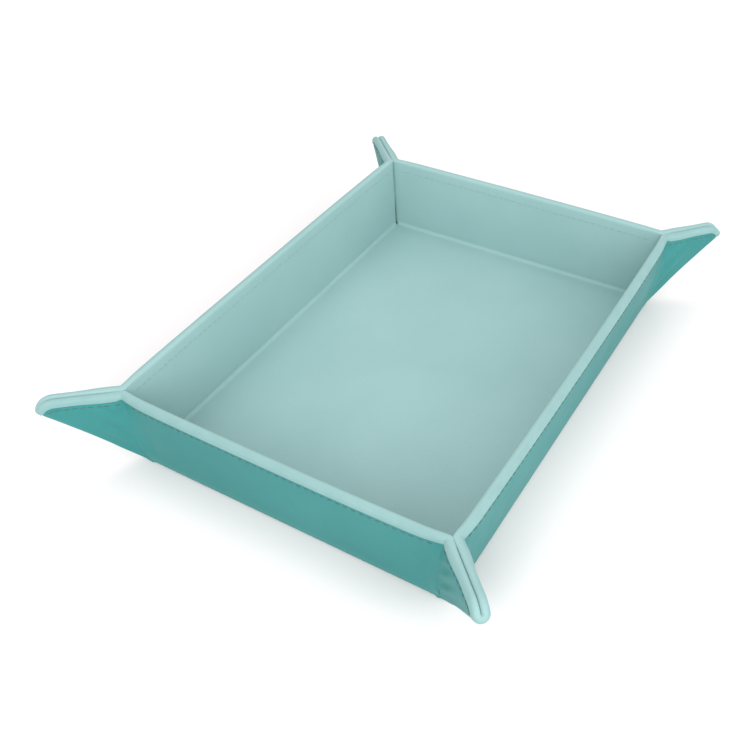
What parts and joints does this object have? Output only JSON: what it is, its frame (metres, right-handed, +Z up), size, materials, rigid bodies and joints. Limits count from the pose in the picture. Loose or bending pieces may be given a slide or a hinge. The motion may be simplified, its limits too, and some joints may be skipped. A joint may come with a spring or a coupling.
{
  "type": "folding dice tray",
  "caption": "Shallow rectangular leatherette dice tray whose stiffened walls fold up from a flat base and pinch together at the corners into pointed ears.",
  "frame": {"origin": "centre of the underside of the base, on the surface that the tray stands on", "axes": "+Z up out of the tray, +Y along the tray's length, +X across it"},
  "size_m": [0.2002, 0.2622, 0.0392],
  "materials": {
    "cover": "smooth satin leatherette, teal",
    "lining": "smooth matt leatherette, pale aqua",
    "board": "grey bookbinding board",
    "stiffener": "thin card",
    "magnet": "nickel-plated disc",
    "thread": "polyester sewing thread, aqua"
  },
  "bodies": {
    "base": {"cover_base": "cover", "board_base": "board", "lining_base": "lining"},
    "right_wall": {"cover_right_wall": "cover", "board_right_wall": "board", "lining_right_wall": "lining", "thread_right_wall": "thread"},
    "right_back_flap": {"cover_right_back_flap": "cover", "stiffener_right_back_flap": "stiffener", "magnet_right_back_flap": "magnet", "lining_right_back_flap": "lining", "thread_right_back_flap": "thread"},
    "right_front_flap": {"cover_right_front_flap": "cover", "stiffener_right_front_flap": "stiffener", "magnet_right_front_flap": "magnet", "lining_right_front_flap": "lining", "thread_right_front_flap": "thread"},
    "back_wall": {"cover_back_wall": "cover", "board_back_wall": "board", "lining_back_wall": "lining", "thread_back_wall": "thread"},
    "back_left_flap": {"cover_back_left_flap": "cover", "stiffener_back_left_flap": "stiffener", "magnet_back_left_flap": "magnet", "lining_back_left_flap": "lining", "thread_back_left_flap": "thread"},
    "back_right_flap": {"cover_back_right_flap": "cover", "stiffener_back_right_flap": "stiffener", "magnet_back_right_flap": "magnet", "lining_back_right_flap": "lining", "thread_back_right_flap": "thread"},
    "left_wall": {"cover_left_wall": "cover", "board_left_wall": "board", "lining_left_wall": "lining", "thread_left_wall": "thread"},
    "left_front_flap": {"cover_left_front_flap": "cover", "stiffener_left_front_flap": "stiffener", "magnet_left_front_flap": "magnet", "lining_left_front_flap": "lining", "thread_left_front_flap": "thread"},
    "left_back_flap": {"cover_left_back_flap": "cover", "stiffener_left_back_flap": "stiffener", "magnet_left_back_flap": "magnet", "lining_left_back_flap": "lining", "thread_left_back_flap": "thread"},
    "front_wall": {"cover_front_wall": "cover", "board_front_wall": "board", "lining_front_wall": "lining", "thread_front_wall": "thread"},
    "front_right_flap": {"cover_front_right_flap": "cover", "stiffener_front_right_flap": "stiffener", "magnet_front_right_flap": "magnet", "lining_front_right_flap": "lining", "thread_front_right_flap": "thread"},
    "front_left_flap": {"cover_front_left_flap": "cover", "stiffener_front_left_flap": "stiffener", "magnet_front_left_flap": "magnet", "lining_front_left_flap": "lining", "thread_front_left_flap": "thread"}
  },
  "joints": [
    {"name": "right_wall_fold", "type": "hinge", "parent": "base", "child": "right_wall", "pos_m": [0.071, 0, 0.0019], "axis": [0, 1, 0], "range_deg": [0, 83.2]},
    {"name": "back_wall_fold", "type": "hinge", "parent": "base", "child": "back_wall", "pos_m": [0, 0.102, 0.0019], "axis": [-1, 0, 0], "range_deg": [0, 83.2]},
    {"name": "left_wall_fold", "type": "hinge", "parent": "base", "child": "left_wall", "pos_m": [-0.071, 0, 0.0019], "axis": [0, -1, 0], "range_deg": [0, 83.2]},
    {"name": "front_wall_fold", "type": "hinge", "parent": "base", "child": "front_wall", "pos_m": [0, -0.102, 0.0019], "axis": [1, 0, 0], "range_deg": [0, 83.2]},
    {"name": "right_back_flap_fold", "type": "hinge", "parent": "right_wall", "child": "right_back_flap", "pos_m": [0.071, 0.09896, 0.0019], "axis": [0.1176, 0.1176, 0.9861], "range_deg": [0, 45.4]},
    {"name": "right_front_flap_fold", "type": "hinge", "parent": "right_wall", "child": "right_front_flap", "pos_m": [0.071, -0.09896, 0.0019], "axis": [-0.1176, 0.1176, -0.9861], "range_deg": [0, 45.4]},
    {"name": "left_front_flap_fold", "type": "hinge", "parent": "left_wall", "child": "left_front_flap", "pos_m": [-0.071, -0.09896, 0.0019], "axis": [-0.1176, -0.1176, 0.9861], "range_deg": [0, 45.4]},
    {"name": "left_back_flap_fold", "type": "hinge", "parent": "left_wall", "child": "left_back_flap", "pos_m": [-0.071, 0.09896, 0.0019], "axis": [0.1176, -0.1176, -0.9861], "range_deg": [0, 45.4]},
    {"name": "back_left_flap_fold", "type": "hinge", "parent": "left_back_flap", "child": "back_left_flap", "pos_m": [-0.07134, 0.10234, 0.00138], "axis": [-0.524, 0.524, 0.6715], "range_deg": [0, 179.6]},
    {"name": "back_right_flap_fold", "type": "hinge", "parent": "right_back_flap", "child": "back_right_flap", "pos_m": [0.07134, 0.10234, 0.00138], "axis": [-0.524, -0.524, -0.6715], "range_deg": [0, 179.6]},
    {"name": "front_right_flap_fold", "type": "hinge", "parent": "right_front_flap", "child": "front_right_flap", "pos_m": [0.07134, -0.10234, 0.00138], "axis": [0.524, -0.524, 0.6715], "range_deg": [0, 179.6]},
    {"name": "front_left_flap_fold", "type": "hinge", "parent": "left_front_flap", "child": "front_left_flap", "pos_m": [-0.07134, -0.10234, 0.00138], "axis": [0.524, 0.524, -0.6715], "range_deg": [0, 179.6]}
  ],
  "couplings": [
    {"joint": "right_wall_fold", "follows": "left_wall_fold", "ratio": 1},
    {"joint": "back_wall_fold", "follows": "left_wall_fold", "ratio": 1},
    {"joint": "front_wall_fold", "follows": "left_wall_fold", "ratio": 1},
    {"joint": "right_back_flap_fold", "follows": "left_wall_fold", "ratio": 0.54569},
    {"joint": "right_front_flap_fold", "follows": "left_wall_fold", "ratio": 0.54569},
    {"joint": "left_front_flap_fold", "follows": "left_wall_fold", "ratio": 0.54569},
    {"joint": "left_back_flap_fold", "follows": "left_wall_fold", "ratio": 0.54569},
    {"joint": "back_left_flap_fold", "follows": "left_wall_fold", "ratio": 2.1587},
    {"joint": "back_right_flap_fold", "follows": "left_wall_fold", "ratio": 2.1587},
    {"joint": "front_right_flap_fold", "follows": "left_wall_fold", "ratio": 2.1587},
    {"joint": "front_left_flap_fold", "follows": "left_wall_fold", "ratio": 2.1587}
  ]
}
